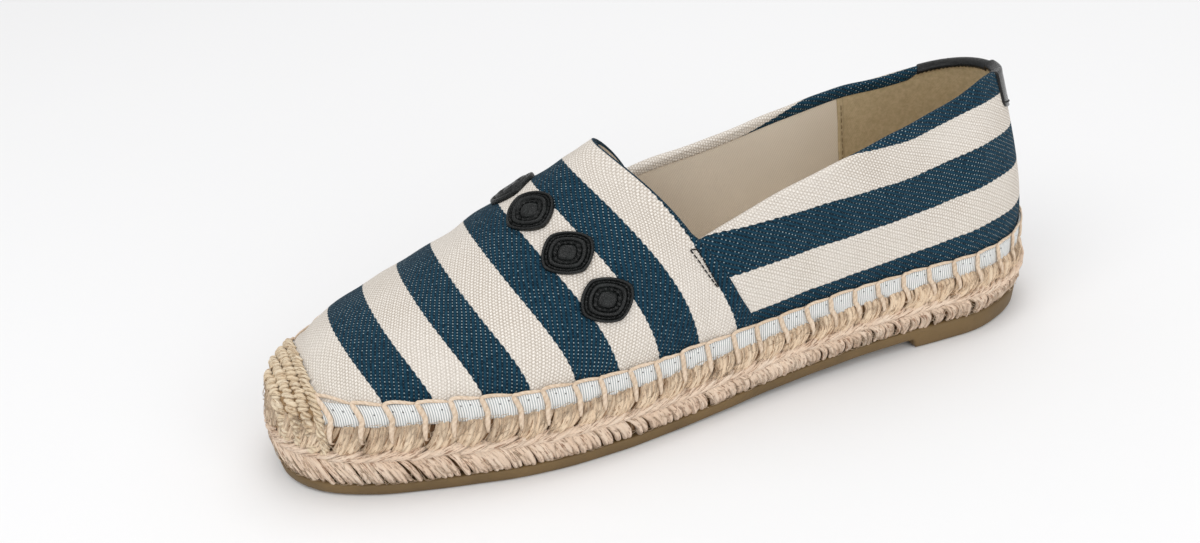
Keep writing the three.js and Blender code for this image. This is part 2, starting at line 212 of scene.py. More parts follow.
def on_upper(side, place, height, grow=0.0):
    """A point on the upper at a height above the rope."""
    turn = turn_at(station(place, FOOT_INSET), height)
    point = off_skin(side, place, turn, grow)
    point[..., 2] += np.minimum(height, 0)
    return point


def on_sole(side, place, inset, heights, level, share=1.0):
    """A point on the sole's inset outline, or inside it, at a level between two heights."""
    at = station(place, inset)
    low, high = heights(at)
    x = along(LAST, "shift", at) - MIDDLE + side * half_width(place, inset) * share
    return np.stack([x, LENGTH * (0.5 - at), low + (high - low) * level], -1)


def on_band(side, place, level, grow=0.0):
    """A point on the rope band: level 0 is its foot and 1 its top."""
    side, place, level, grow = broad(side, place, level, grow)
    inset = ROPE_EDGE - (ROPE_EDGE + ROPE_BULGE) * (1 - (2 * clamp(level) - 1) ** 2) - grow
    return on_sole(side, place, inset, lambda at: (rubber_top(at) + GAP, rope_top(at)), level)


# Places round the foot of the upper, evenly spaced: the run goes from the toe along the outer side to the heel (0)
# and back along the inner side, so it is negative on the outer side.
RIM_HALF = 3000  # points on each side
_rim_u = np.linspace(0, 1, RIM_HALF)
_rim_place = np.concatenate([(1 + np.cos(np.pi * _rim_u)) / 2, (1 - np.cos(np.pi * _rim_u)) / 2])
_rim_run = arc(on_band(np.repeat([1.0, -1.0], RIM_HALF), _rim_place, 1.0))
_rim_run -= _rim_run[RIM_HALF - 1]
RIM_TOE, RIM_END = _rim_run[0], _rim_run[-1]


def at_run(run):
    """Side and place at a run round the foot, in millimetres; it wraps round the toe."""
    run = RIM_TOE + np.mod(np.asarray(run, float) - RIM_TOE, RIM_END - RIM_TOE)
    return np.where(run < 0, 1.0, -1.0), clamp(np.interp(run, _rim_run, _rim_place))


def run_of(side, place):
    outer = np.interp(place, _rim_place[:RIM_HALF][::-1], _rim_run[:RIM_HALF][::-1])
    return np.where(side > 0, outer, np.interp(place, _rim_place[RIM_HALF:], _rim_run[RIM_HALF:]))


def whole_rim(count):
    """Evenly spaced runs from the toe's tip round the foot and back to it, with their sides and places."""
    run = np.linspace(RIM_TOE, RIM_END, count)
    side, place = at_run(run)
    side[0], side[-1] = 1.0, -1.0
    return run, side, place


def search(low, high, beyond, steps=24):
    """Narrows down where beyond(value) turns from true to false, by halving."""
    for _ in range(steps):
        middle = (low + high) / 2
        more = beyond(middle)
        low, high = np.where(more, middle, low), np.where(more, high, middle)
    return low, high


# ---------------------------------------------------------------- mesh building


def in_scene(name, data):
    obj = bpy.data.objects.new(name, data)
    bpy.context.scene.collection.objects.link(obj)
    return obj


class Soup:
    """Grids and tubes that become one mesh, with named numbers at each point."""

    def __init__(self, *names):
        self.names = names
        self.points, self.quads, self.values, self.count = [], [], {n: [] for n in names}, 0

    def grid(self, points, wrap=False, flip=False, **values):
        rows, cols = points.shape[:2]
        index = np.arange(rows * cols).reshape(rows, cols) + self.count
        if wrap:
            index = np.concatenate([index, index[:, :1]], 1)
        quads = np.stack([index[:-1, :-1], index[:-1, 1:], index[1:, 1:], index[1:, :-1]], -1).reshape(-1, 4)
        self.quads.append(quads[:, ::-1] if flip else quads)
        self.points.append(points.reshape(-1, 3))
        for name in self.names:
            self.values[name].append(np.broadcast_to(values.get(name, 0.0), (rows, cols)).reshape(-1))
        self.count += rows * cols

    def build(self, name, material):
        points = np.concatenate(self.points) * MM
        quads = np.concatenate(self.quads)
        mesh = bpy.data.meshes.new(name)
        mesh.vertices.add(len(points))
        mesh.vertices.foreach_set("co", points.astype(np.float32).ravel())
        mesh.loops.add(quads.size)
        mesh.loops.foreach_set("vertex_index", quads.astype(np.int32).ravel())
        mesh.polygons.add(len(quads))
        mesh.polygons.foreach_set("loop_start", np.arange(0, quads.size, 4, dtype=np.int32))
        mesh.polygons.foreach_set("use_smooth", np.ones(len(quads), bool))
        for key in self.names:
            layer = mesh.attributes.new(key, "FLOAT", "POINT")
            layer.data.foreach_set("value", np.concatenate(self.values[key]).astype(np.float32))
        mesh.update(calc_edges=True)
        mesh.validate()
        mesh.materials.append(material)
        obj = in_scene(name, mesh)
        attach(obj, "root")
        return obj


def cloth():
    """An empty mesh for cloth, with its threads' numbers in millimetres and its stripe's number."""
    return Soup("warp", "weft", "stripe")


def cords():
    """An empty mesh for cords, with the length along a cord, the angle round it and a number of its own."""
    return Soup("run", "round", "seed")


def tube(soup, path, normal, wide, thick, around=8, twist=0.0, **values):
    """A tube with an oval section along a path; wide and thick may vary along it."""
    tangent = unit(np.gradient(path, axis=0))
    sideways = unit(np.cross(tangent, normal))
    out = np.cross(sideways, tangent)
    n = len(path)
    wide, thick = np.broadcast_to(wide, n)[:, None], np.broadcast_to(thick, n)[:, None]
    angle = np.linspace(0, 2 * np.pi, around, endpoint=False)[None, :] + np.broadcast_to(twist, n)[:, None]
    ring = sideways[:, None] * (np.cos(angle) * wide / 2)[..., None]
    ring = ring + out[:, None] * (np.sin(angle) * thick / 2)[..., None]
    soup.grid(path[:, None] + ring, wrap=True, flip=True, run=arc(path)[:, None], round=angle, **values)


# ---------------------------------------------------------------- materials


class Value:
    """What a shader node puts out; arithmetic with it adds more nodes."""

    def __init__(self, nodes, socket):
        self.nodes, self.socket = nodes, socket

    def __rsub__(self, other):
        return self.nodes.math("SUBTRACT", other, self)


OPERATIONS = {
    "__add__": "ADD", "__sub__": "SUBTRACT", "__mul__": "MULTIPLY", "__truediv__": "DIVIDE", "__lt__": "LESS_THAN",
    "__mod__": "FLOORED_MODULO", "__abs__": "ABSOLUTE", "floor": "FLOOR", "fract": "FRACT", "root": "SQRT",
    "sine": "SINE", "cosine": "COSINE", "most": "MAXIMUM",
}
for method, operation in OPERATIONS.items():
    setattr(Value, method, lambda a, b=0.0, kind=operation: a.nodes.math(kind, a, b))


class Nodes:
    """A material's node tree, written as arithmetic."""

    def __init__(self, name):
        self.material = bpy.data.materials.new(name)
        self.material.use_nodes = True
        self.tree = self.material.node_tree
        self.tree.nodes.clear()
        self.shader = self.node("BsdfPrincipled")
        self.put(self.node("OutputMaterial").inputs["Surface"], Value(self, self.shader.outputs[0]))

    def put(self, socket, value):
        """Links or sets an input; a colour of three numbers is in sRGB, 0 to 255."""
        if isinstance(value, Value):
            self.tree.links.new(value.socket, socket)
        else:
            socket.default_value = rgb(*value) if isinstance(value, tuple) and len(value) == 3 else value

    def node(self, kind, **inputs):
        node = self.tree.nodes.new("ShaderNode" + kind)
        for name, value in inputs.items():
            self.put(node.inputs[name], value)
        return node

    def set(self, **values):
        for key, value in values.items():
            self.put(self.shader.inputs[key.replace("_", " ")], value)

    def math(self, operation, a, b=0.0):
        node = self.node("Math")
        node.operation = operation
        self.put(node.inputs[0], a)
        self.put(node.inputs[1], b)
        return Value(self, node.outputs[0])

    def number(self, name):
        node = self.node("Attribute")
        node.attribute_name = name
        return Value(self, node.outputs["Fac"])

    def place(self):
        return Value(self, self.node("TexCoord").outputs["Object"])

    def vector(self, x, y, z=0.0):
        return Value(self, self.node("CombineXYZ", X=x, Y=y, Z=z).outputs[0])

    def noise(self, scale, vector=None, detail=3.0, rough=0.55):
        node = self.node("TexNoise", Scale=scale, Detail=detail, Roughness=rough, Vector=vector or self.place())
        return Value(self, node.outputs["Fac"])

    def spread(self, value, low, high, to_low=0.0, to_high=1.0):
        """Goes softly from to_low, below low, to to_high, above high."""
        node = self.node("MapRange")
        node.interpolation_type = "SMOOTHSTEP"
        for socket, v in zip(list(node.inputs)[:5], (value, low, high, to_low, to_high)):
            self.put(socket, v)
        return Value(self, node.outputs[0])

    def mix(self, share, a, b, blend="MIX"):
        node = self.node("Mix")
        node.data_type = "RGBA"
        node.blend_type = blend
        first, second = (s for s in node.inputs if s.type == "RGBA")
        self.put(node.inputs[0], share)
        self.put(first, a)
        self.put(second, b)
        return Value(self, next(s for s in node.outputs if s.type == "RGBA"))

    def darkened_in_patches(self, share, colour, cloud, patch_tone):
        """A colour made darker in patches."""
        return self.mix(share, colour, self.mix(cloud, patch_tone, (1, 1, 1, 1)), "MULTIPLY")

    def bump(self, height, distance, strength=1.0):
        node = self.node("Bump", Strength=strength, Distance=distance, Height=height)
        self.put(self.shader.inputs["Normal"], Value(self, node.outputs[0]))


def rgb(red, green, blue):
    """A colour as linear light."""
    c = np.array([red, green, blue]) / 255
    linear = np.where(c <= 0.04045, c / 12.92, ((c + 0.055) / 1.055) ** 2.4)
    return (*map(float, linear), 1.0)


WARP_STEP, WEFT_STEP = 0.85, 0.55  # millimetres between threads
TWILL = 3.0  # threads after which the slanting pattern comes again


def woven(name, dark, light):
    """Striped twill: light weft threads come up between the warp threads as dots in slanting grooves."""
    m = Nodes(name)
    warp, weft, stripe = m.number("warp"), m.number("weft"), m.number("stripe")
    wander = m.noise(1.0, m.vector(warp * 0.05, weft * 0.05), 2.0)
    a, b = (warp + wander * 1.3) / WARP_STEP, (weft + wander) / WEFT_STEP
    cell_a, cell_b = a.floor(), b.floor()
    in_a, in_b = a.fract() - 0.5, b.fract() - 0.5
    over = (cell_a + cell_b) % TWILL < 0.5
    far_a, far_b = in_a * WARP_STEP, in_b * WEFT_STEP
    dot = over * m.spread((far_a * far_a + far_b * far_b).root(), 0.12, 0.26, 1.0, 0.0)
    cell = m.spread(abs(in_a).most(abs(in_b)), 0.22, 0.5, 1.0, 0.0)
    in_brick = abs((b / 2.0 + cell_a % 2.0 / 2.0).fract() - 0.5)
    pebble = m.spread(abs(in_a).most(in_brick), 0.24, 0.48, 1.0, 0.0)
    slant = ((a + b) / TWILL + 1 / 6).fract()
    groove = m.spread(abs(slant - 0.5), 0.1, 0.3, 1.0, 0.0)
    speckle = m.noise(1.0, m.vector(cell_a * 0.73, cell_b * 0.91), 1.0)
    scallop = abs((a / TWILL).fract() - 0.5)
    phase = (stripe + (scallop - 0.25) * 0.045 + (speckle - 0.5) * 0.03) % 2.0
    blue = m.spread(phase, 0.99, 1.01, 1.0, 0.0).most(m.spread(phase, 1.985, 2.0))
    # Soft random patches: they set where the painted shade below darkens the canvas, how clearly the weft dots
    # show, and how much the gaps between the cream threads darken.
    mottle = m.noise(38.0, None, 4.0)
    show = m.spread(speckle + mottle * 0.6, 0.62, 0.98, 0.08, 0.95)
    dark_cloth = m.mix(m.spread(speckle, 0.3, 0.7), dark[0], dark[1])
    dark_cloth = m.mix(groove * 0.8, dark_cloth, dark[2])
    dark_cloth = m.mix(dot * show, dark_cloth, dark[3])
    cream = m.mix(m.spread(speckle, 0.3, 0.7), light[0], light[1])
    cream = m.mix((1.0 - pebble) * m.spread(mottle, 0.3, 0.7, 0.4, 0.8), cream, light[2])
    cream = m.mix(groove * 0.14, cream, light[2])
    cream = m.mix(dot * (show * 0.5), cream, light[3])
    # Painted shade: the canvas colour is multiplied slightly darker, by up to about a tenth, in soft random
    # patches.
    colour = m.darkened_in_patches(0.13, m.mix(blue, cream, dark_cloth), mottle, (0.3, 0.28, 0.26, 1))
    deep = groove * m.spread(blue, 0.0, 1.0, 0.2, 0.8)
    body = cell * blue + pebble * (1.3 - blue)
    m.bump(body * 0.6 + dot * 0.4 - deep + m.noise(2500.0, None, 2.0) * 0.5, 0.00022, 0.8)
    m.set(Base_Color=colour, Roughness=0.95, Sheen_Weight=0.03, Sheen_Roughness=0.5, Specular_IOR_Level=0.12)
    return m.material


def fibrous(name, pale, deep, dark):
    """Plant-fibre rope: fine strands along each ply, with darker ones among them."""
    m = Nodes(name)
    run, around, seed = m.number("run"), m.number("round"), m.number("seed")
    spot = m.vector(run * 0.16, around.sine() * 0.9, around.cosine() * 0.9 + seed * 17.0)
    fibre, broad = m.noise(2.0, spot, 6.0, 0.72), m.noise(1.0, spot, 2.0)
    patch = m.noise(70.0)
    colour = m.mix(m.spread((seed * 7.31).fract(), 0.0, 1.0, 0.0, 0.7), pale, deep)
    for where, steps, other in ((patch, (0.35, 0.7, 0.0, 0.6), deep), (broad, (0.35, 0.7, 0.0, 0.5), deep),
                                (fibre, (0.53, 0.61, 0.0, 0.85), dark), (fibre, (0.3, 0.45, 0.7, 0.0), pale)):
        colour = m.mix(m.spread(where, *steps), colour, other)
    m.bump(fibre + m.noise(1500.0, None, 4.0, 0.7) * 0.5, 0.0007)
    m.set(Base_Color=colour, Roughness=0.9, Sheen_Weight=0.05, Specular_IOR_Level=0.15)
    return m.material


def leather(name, colour, mottle):
    m = Nodes(name)
    cells = m.node("TexVoronoi", Scale=1300.0, Vector=m.place())
    cells.feature = "DISTANCE_TO_EDGE"
    grain = m.spread(Value(m, cells.outputs["Distance"]), 0.0, 0.2)
    rub = m.noise(260.0, None, 4.0)
    m.bump(grain + rub * 1.4, 0.0001, 0.5)
    m.set(Base_Color=m.mix(m.spread(rub, 0.5, 0.8, 0.0, 0.6), colour, mottle),
          Roughness=m.spread(rub, 0.3, 0.7, 0.14, 0.26), Specular_IOR_Level=0.28)
    return m.material


def thread(name, colour, deep):
    m = Nodes(name)
    ply = (m.number("run") * 3.4 + m.number("round") * 2.0).sine()
    fuzz, patch_tone = m.noise(1500.0), m.noise(120.0)
    m.bump(ply * 0.25 + fuzz, 0.00012, 0.9)
    shade = ply * 0.08 + (fuzz * 0.6 + patch_tone * 0.4)
    m.set(Base_Color=m.mix(m.spread(shade, 0.25, 0.75), deep, colour), Roughness=0.85, Sheen_Weight=0.05,
          Specular_IOR_Level=0.2)
    return m.material


RIB, PIN_STEP = 0.72, 2.7  # millimetres between the ribbon's ribs, and between its pin holes


def ribbed(name):
    """Grosgrain ribbon: fine ribs across its length, and small dark pin holes near its upper edge."""
    m = Nodes(name)
    run, rise = m.number("run"), m.number("rise")
    uneven = m.noise(1.0, m.vector(run * 0.35, rise * 0.5))
    rib = (run * (2 * np.pi / RIB) + uneven * 1.2).sine()
    step = run / PIN_STEP
    chance = ((step.floor() * 12.9).sine() * 43.7).fract()
    pin_x, pin_y = (step.fract() - 0.5) * PIN_STEP, rise + chance * 1.3 - 3.7
    hole = m.spread((pin_x * pin_x + pin_y * pin_y).root(), 0.14, 0.32, 1.0, 0.0) * m.spread(chance, 0.2, 0.3)
    cloth = m.mix(m.spread(rib, -1.0, 0.3), (172, 178, 178), (250, 250, 248))
    # Painted shade: the ribbon's lowest rows, which tuck behind the rope's strands, are tinted up to half way to a
    # dull warm brown.
    cloth = m.mix(m.spread(rise, -1.6, -0.9, 0.5, 0.0), cloth, (150, 130, 110))
    colour = m.mix(hole * 0.85, cloth, (52, 50, 50))
    m.bump(rib * 0.5 - hole, 0.0002)
    m.set(Base_Color=colour, Roughness=0.7, Sheen_Weight=0.05, Specular_IOR_Level=0.3)
    return m.material


def lining_cloth(name, front, back):
    """Fine lining; it turns to a nappier, darker heel lining behind the seam."""
    m = Nodes(name)
    warp, weft, heel = m.number("warp"), m.number("weft"), m.number("stripe")
    slant = ((warp + weft) * (2 * np.pi / 0.9)).sine()
    fine = ((warp - weft) * (2 * np.pi / 0.6)).sine()
    nap, cloud = m.noise(700.0, None, 5.0, 0.7), m.noise(60.0)
    plain = m.mix(m.spread(slant + fine * 0.5, -1.5, 1.5), *front)
    suede = m.mix(m.spread(nap, 0.3, 0.7), *back)
    colour = m.darkened_in_patches(0.15, m.mix(m.spread(heel, 0.45, 0.55), plain, suede), cloud, (0.4, 0.38, 0.35, 1))
    m.bump(slant * 0.25 + nap * 0.8, 0.00012, 0.6)
    m.set(Base_Color=colour, Roughness=0.97, Sheen_Weight=0.08, Specular_IOR_Level=0.1)
    return m.material


def rubbery(name):
    m = Nodes(name)
    fine, cloud = m.noise(1400.0, None, 4.0), m.noise(45.0)
    colour = m.mix(m.spread(cloud, 0.3, 0.7), (100, 80, 50), (117, 94, 59))
    colour = m.mix(m.spread(fine, 0.55, 0.75, 0.0, 0.3), colour, (76, 60, 37))
    m.bump(fine + cloud * 1.5, 0.00012, 0.6)
    m.set(Base_Color=colour, Roughness=0.62, Specular_IOR_Level=0.4)
    return m.material


BLUE = ((15, 50, 68), (28, 68, 88), (7, 23, 35), (164, 180, 184))
CREAM = ((236, 229, 220), (246, 240, 232), (178, 165, 149), (205, 192, 176))
FRONT_LINING, HEEL_LINING = ((220, 208, 191), (231, 220, 204)), ((178, 160, 126), (200, 181, 146))
canvas_look = woven("striped_canvas", BLUE, CREAM)
lining_look = lining_cloth("lining", FRONT_LINING, HEEL_LINING)
jute_look = fibrous("jute", (252, 230, 202), (238, 210, 178), (146, 106, 72))
lower_look = fibrous("jute_lower", (255, 234, 212), (242, 214, 188), (150, 108, 80))
core_look = fibrous("jute_core", (176, 138, 102), (150, 116, 82), (92, 66, 46))
cap_look = fibrous("cap_jute", (250, 234, 208), (238, 215, 182), (160, 124, 86))
cap_shade = fibrous("cap_shade", (196, 166, 128), (176, 144, 106), (118, 88, 60))
cord_look = thread("stitch_cord", (228, 209, 188), (200, 176, 150))
heel_thread = thread("heel_thread", (150, 130, 98), (110, 92, 64))
ribbon_look = ribbed("grosgrain")
leather_look = leather("black_leather", (9, 10, 11), (20, 22, 23))
badge_look = leather("badge_leather", (15, 17, 17), (38, 42, 41))
black_thread = thread("black_thread", (30, 31, 33), (12, 12, 14))
badge_thread = thread("badge_thread", (40, 42, 42), (14, 15, 15))
rubber_look = rubbery("outsole_rubber")

# ---------------------------------------------------------------- canvas: vamp and quarters

STRIPE = 13.2  # the vamp's stripes, measured along the foot
FIRST_STRIPE, STRIPE_BOW = 28.1, 0.39  # where they start, and their bow over the ridge in stripes
INNER_DROP = 4.5  # how much lower the quarter's stripes sit on the inner side
PANEL = 13.5  # the quarter's stripes
PANEL_PITCH = 13.6  # their pitch as a height above the rope
STITCH = 8.75  # millimetres between blanket stitches
PANEL_RISE = table("at rise", [
    (0.00, 12.6), (0.08, 13.8), (0.15, 13.0), (0.22, 11.4), (0.30, 10.4), (0.40, 9.4), (0.48, 9.0),
])
SEAM = table("at place", [(0, 0.428), (9, 0.4396), (14, 0.4475), (22, 0.4547), (33, 0.4625), (40, THROAT)])
CLOTH = 0.45  # thickness of one layer at the folded edges
PULL, PULL_RISE = 0.42, 5.2  # how deep the stitches pull the canvas in, and how high above the rope
LINING_SEAM = 0.195  # where the heel lining starts
LINING_GROW = -WALL - 0.15
INNER_CLOTH = WALL + 0.35  # how deep under the skin the inner face of the folded cloth is


def dimple(side, place, height):
    """How far the blanket stitches pull the canvas in near its foot."""
    wave = 0.5 + 0.5 * np.cos(2 * np.pi * run_of(side, place) / STITCH)
    return -PULL * np.exp(-((height - PULL_RISE) ** 2) / 9.0) * wave


def creases(side, place, height):
    """Soft hollows and ridges of a light canvas that has seen little wear: across the vamp's flex and down the
    quarters.
    """
    def hump(position, middle, width):
        return np.exp(-(((position - middle) / width) ** 2))

    lean = place + 0.0006 * height
    flex = 0.38 * (hump(lean, 0.655, 0.022) - 0.7 * hump(lean, 0.70, 0.02)) * ease((height - 9) / 12)
    waist = 0.55 * hump(place, 0.36, 0.045) * np.sin(np.pi * clamp(height / 40))
    heel = 0.35 * hump(place, 0.16, 0.03) * np.sin(2 * np.pi * clamp(height / 52))
    ripple = 0.12 * np.sin(place * 95 + height * 0.11 + side) * ease((height - 4) / 10)
    return flex - waist + heel + ripple


def stripe_of_vamp(side, place, turn, height):
    """Stripe number on the vamp, from the toe; the stripes bow towards the toe over the ridge."""
    run = (1 - place) * (LENGTH - 2 * FOOT_INSET)
    bow = np.sin(np.pi * clamp((run - 20) / 125)) ** 0.7
    q = (run - FIRST_STRIPE) / STRIPE - STRIPE_BOW * np.sin(turn) ** 4 * bow
    return np.maximum(q + 0.25 * ease(height / 28) * ease((run - 122) / 8), -0.97)


def stripe_of_quarter(side, at, height):
    """Stripe number on the quarters; the stripes close up as the heel leans, and sit lower on the inner side."""
    above = height + INNER_DROP * ease(at / 0.2) * (side < 0) - along(PANEL_RISE, "rise", np.minimum(at, 0.48))
    return 1 + above / PANEL_PITCH * (1 + 0.0022 * above * ease((0.34 - at) / 0.14))


def canvas_face(side, place, turn, creased=1.0, thicker=0.0):
    """The canvas's outside, with its heights above the rope."""
    at = station(place, FOOT_INSET)
    height = height_at(at, turn)
    grow = dimple(side, place, height) + creases(side, place, height) * creased + thicker
    points = off_skin(side, place, turn, grow)
    points[..., 2] = np.maximum(points[..., 2], rope_top(at) - 0.2)
    return points, height


def vamp():
    """The front of the canvas, with its back edge rolled under."""
    columns, rows = 230, 75
    seam_turns = np.linspace(0, HALF_TURN, 400)
    share = 1 - (1 - np.linspace(0, 1, columns)) ** 1.25
    share = np.sin(share * HALF_TURN) ** 0.9
    spread = np.linspace(0, 1, rows) ** 1.1
    seam_heights = height_at(np.full(400, 0.455), seam_turns)
    turns = spread * HALF_TURN
    edge = along(SEAM, "place", np.minimum(np.interp(turns, seam_turns, seam_heights), 40))
    half = edge[:, None] + (1 - edge[:, None]) * share[None, :]
    turn = np.broadcast_to(turns[:, None], half.shape)
    place = np.concatenate([half, half[::-1][1:]])
    turn = np.concatenate([turn, turn[::-1][1:]])
    side = np.concatenate([np.full(half.shape, -1.0), np.full((rows - 1, columns), 1.0)])
    points, height = canvas_face(side, place, turn, thicker=CLOTH * (1 - ease((place - THROAT) / 0.02)) * 0.8)
    stripe = stripe_of_vamp(side, place, turn, height)
    warp = arc(points, 0)
    warp -= warp[rows - 1][None, :]
    # The back edge rolls under, down to the lining.
    normal = outward(side[:, 0], place[:, 0], turn[:, 0])
    back = points[:, 0] - points[:, 1]
    back -= normal * np.sum(back * normal, -1, keepdims=True)
    back = unit(back)
    fold = ease((height[:, 0] - 30) / 4)[:, None]
    radius = 0.5
    under = [points[:, 0] - normal * (WALL + 0.3) - back * 5.0, points[:, 0] - normal * 1.6 * radius - back * 0.6]
    for angle in np.linspace(0.85 * np.pi, 0.25, 8):
        behind = back * radius * np.sin(angle) * (0.3 + 0.7 * fold)
        under.append(points[:, 0] - normal * radius * (1 - np.cos(angle)) + behind)
    points = np.concatenate([np.array(under).transpose(1, 0, 2), points], 1)
    count = len(under)
    warp = np.concatenate([np.repeat(warp[:, :1], count, 1), warp], 1)
    turned = stripe[:, :1] + (0.06 + np.linspace(0.5, 0.0, count))[None, :]
    turned = np.maximum(turned, 8.03 * (fold > 0))
    stripe = np.concatenate([turned, stripe], 1)
    soup = cloth()
    soup.grid(points, warp=warp, weft=stripe * STRIPE, stripe=stripe)
    return soup.build("canvas_vamp", canvas_look)


def fold_share(place):
    """How much of its usual depth the cloth is folded in by at the collar: less under the heel tab."""
    return 0.3 + 0.7 * ease((place - 0.068) / 0.02)


def quarter_grid(columns, rows, top_drop=0.0, end=0.4675):
    """Side, place and turn of a grid from the outer side's throat round the heel to the inner side's."""
    w = np.linspace(-1, 1, columns)
    side = np.where(w < 0, 1.0, -1.0)
    place = np.abs(w) ** 1.7 * end
    at = station(place, FOOT_INSET)
    top = turn_at(at, collar_height(side, at) - top_drop * fold_share(place))
    share = np.linspace(0, 1, rows) ** 0.9
    return broad(side[None, :], place[None, :], share[:, None] * top[None, :])


def quarters():
    """The sides and back of the canvas, folded over at the collar and down inside."""
    columns, rows = 420, 64
    side, place, turn = quarter_grid(columns, rows)
    at = station(place, FOOT_INSET)
    face, height = canvas_face(side, place, turn, creased=ease((THROAT - place) / 0.05))
    top_side, top_place, top_turn, top_at = side[-1], place[-1], turn[-1], at[-1]
    normal = outward(top_side, top_place, top_turn)
    rim = []
    for angle in np.pi * np.arange(1, 9) / 9:
        point = face[-1] - normal * INNER_CLOTH / 2 * (1 - np.cos(angle))
        point[:, 2] += 1.0 * np.sin(angle)
        rim.append(point)
    top_height = collar_height(top_side, top_at)
    share = fold_share(top_place)
    inside = [off_skin(top_side, top_place, turn_at(top_at, top_height - drop * share), -WALL - out)
              for drop, out in ((0.0, 0.35), (0.8, 0.42), (1.6, 0.42), (2.3, 0.36), (2.5, 0.0))]
    points = np.concatenate([face, np.array(rim), np.array(inside)])
    stripe = stripe_of_quarter(side, at, height)
    # Above the face the cloth goes on over the edge.
    over = arc(points, 0)[rows - 1:]
    over = (over - over[:1])[1:]
    stripe = np.concatenate([stripe, stripe[-1:] + over / PANEL])
    warp = arc(face, 1)
    warp = np.concatenate([warp, np.repeat(warp[-1:], len(points) - rows, 0)])
    soup = cloth()
    soup.grid(points, warp=warp, weft=stripe * PANEL, stripe=stripe)
    return soup.build("canvas_quarters", canvas_look)


def lining():
    """The inner face of the upper, from the collar down to the footbed and forward into the toe."""
    soup = cloth()
    side, place, turn = quarter_grid(300, 34, top_drop=1.9)
    points = off_skin(side, place, turn, LINING_GROW)
    heel = (place < LINING_SEAM).astype(float)
    soup.grid(points, flip=True, warp=arc(points, 1), weft=arc(points, 0), stripe=heel)
    rows, columns = 50, 120
    share = np.sin(np.linspace(0, 1, columns) * HALF_TURN) * 0.965
    for sign in (-1.0, 1.0):
        place, turn = broad(THROAT + (1 - THROAT) * share[None, :], np.linspace(0, HALF_TURN, rows)[:, None])
        points = off_skin(sign, place, turn, LINING_GROW)
        soup.grid(points, flip=sign < 0, warp=arc(points, 1), weft=arc(points, 0), stripe=0.0)
    return soup.build("lining", lining_look)


for piece in (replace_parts(vamp(), "upper"), quarters(), lining()):
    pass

# ---------------------------------------------------------------- ribbon and blanket stitches

CAP_PLACE = 0.954  # where the cap's back edge meets the foot
RIBBON_START = run_of(1.0, CAP_PLACE)
RIBBON_END = run_of(-1.0, CAP_PLACE)
FIRST_LEG = 1.4


def low_at_toe(side, place):
    """The ribbon narrows on the inner side of the toe, where the canvas is low."""
    return 1 - 0.5 * ease((place - 0.88) / 0.06) * (side < 0)


def ribbon():
    """The grosgrain ribbon round the foot of the canvas."""
    run = np.linspace(RIBBON_START, RIBBON_END, 900)
    side, place = at_run(run)
    rises = np.array([-1.6, -0.4, 1.0, 2.4, 3.6, 4.5, 4.7])
    wave = 0.1 * np.sin(run / 2.1) + 0.25 * np.sin(run / 19.0)
    points = []
    for k, rise in enumerate(rises):
        height = (rise + (wave if rise > 2 else 0)) * low_at_toe(side, place)
        grow = 0.6 if k < len(rises) - 1 else 0.05
        points.append(on_upper(side, place, height, grow + 0.12 * np.cos(2 * np.pi * run / STITCH + np.pi)))
    soup = Soup("run", "rise")
    soup.grid(np.array(points), run=run[None, :], rise=rises[:, None])
    return soup.build("ribbon", ribbon_look)


def blanket_stitches():
    """One cord from stitch to stitch: up out of the rope over the ribbon, then along the canvas."""
    soup = cords()
    count = int((RIBBON_END - RIBBON_START) / STITCH)
    for k in range(count + 1):
        start = RIBBON_START + FIRST_LEG + k * STITCH + rng.normal(0, 0.25)
        foot_shift = rng.normal(1.0, 0.5)
        # The leg comes out of the rope and goes over its edge and the ribbon.
        side, place = at_run(start + foot_shift)
        rise = (5.1 + rng.normal(0, 0.15)) * float(low_at_toe(side, place))
        depth = 0.72 + rng.normal(0, 0.02)
        below = [on_band(side, place, level, grow) for level, grow in
                 ((depth - 0.04, -2.0), (depth, -0.3), (depth + 0.07, 0.3), (0.88, 0.35), (0.97, 0.25))]
        side, place = at_run(start + foot_shift * np.array([0.7, 0.45, 0.2, 0.0]))
        on_canvas = on_upper(side, place, rise * np.array([0.12, 0.4, 0.7, 0.9]), np.array([1.1, 1.05, 1.0, 0.95]))
        side, place = at_run(start + np.array([0.5, 1.5, 3.2, 5.2, 7.2, STITCH + 0.3]))
        sag = np.array([0.1, 0.25, 0.35, 0.2, 0.0, -0.25]) + rng.normal(0, 0.07, 6)
        lift = np.array([0.95, 0.95, 0.85, 0.8, 0.7, 0.35])
        over = on_upper(side, place, rise + sag, lift)
        path = smooth(np.concatenate([np.array(below).reshape(-1, 3), on_canvas, over]), 36)
        size = np.interp(np.linspace(0, 1, len(path)), [0, 0.12, 0.22, 0.5, 0.62, 0.9, 1],
                         [0.4, 1.0, 1.6, 1.65, 1.2, 1.05, 0.6])
        tube(soup, path, outward(*at_run(start + 2), 0.15), size, size * 0.6, around=7, seed=rng.random())
    return soup.build("blanket_stitches", cord_look)


def smooth(key, count):
    """A Catmull-Rom curve through key points."""
    key = np.asarray(key, float)
    padded = np.concatenate([2 * key[:1] - key[1:2], key, 2 * key[-1:] - key[-2:-1]])
    t = np.linspace(0, len(key) - 1 - 1e-6, count)
    k = t.astype(int)
    u = (t - k)[:, None]
    p0, p1, p2, p3 = (padded[k + i] for i in range(4))
    square, cube = 2 * p0 - 5 * p1 + 4 * p2 - p3, 3 * p1 - p0 - 3 * p2 + p3
    return 0.5 * (2 * p1 + (p2 - p0) * u + square * u**2 + cube * u**3)


for piece in (ribbon(), blanket_stitches()):
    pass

# ---------------------------------------------------------------- rope sole

CAP_SKIRT = 0.5  # the cap covers the band's upper row as far down as this
CORE_GROW = -1.9  # the core's face, under the strands
RIDGE_PITCH, LOWER_PITCH = 4.3, 1.5
DECK_INSET = 12  # how far in the closed top and underside of the core reach


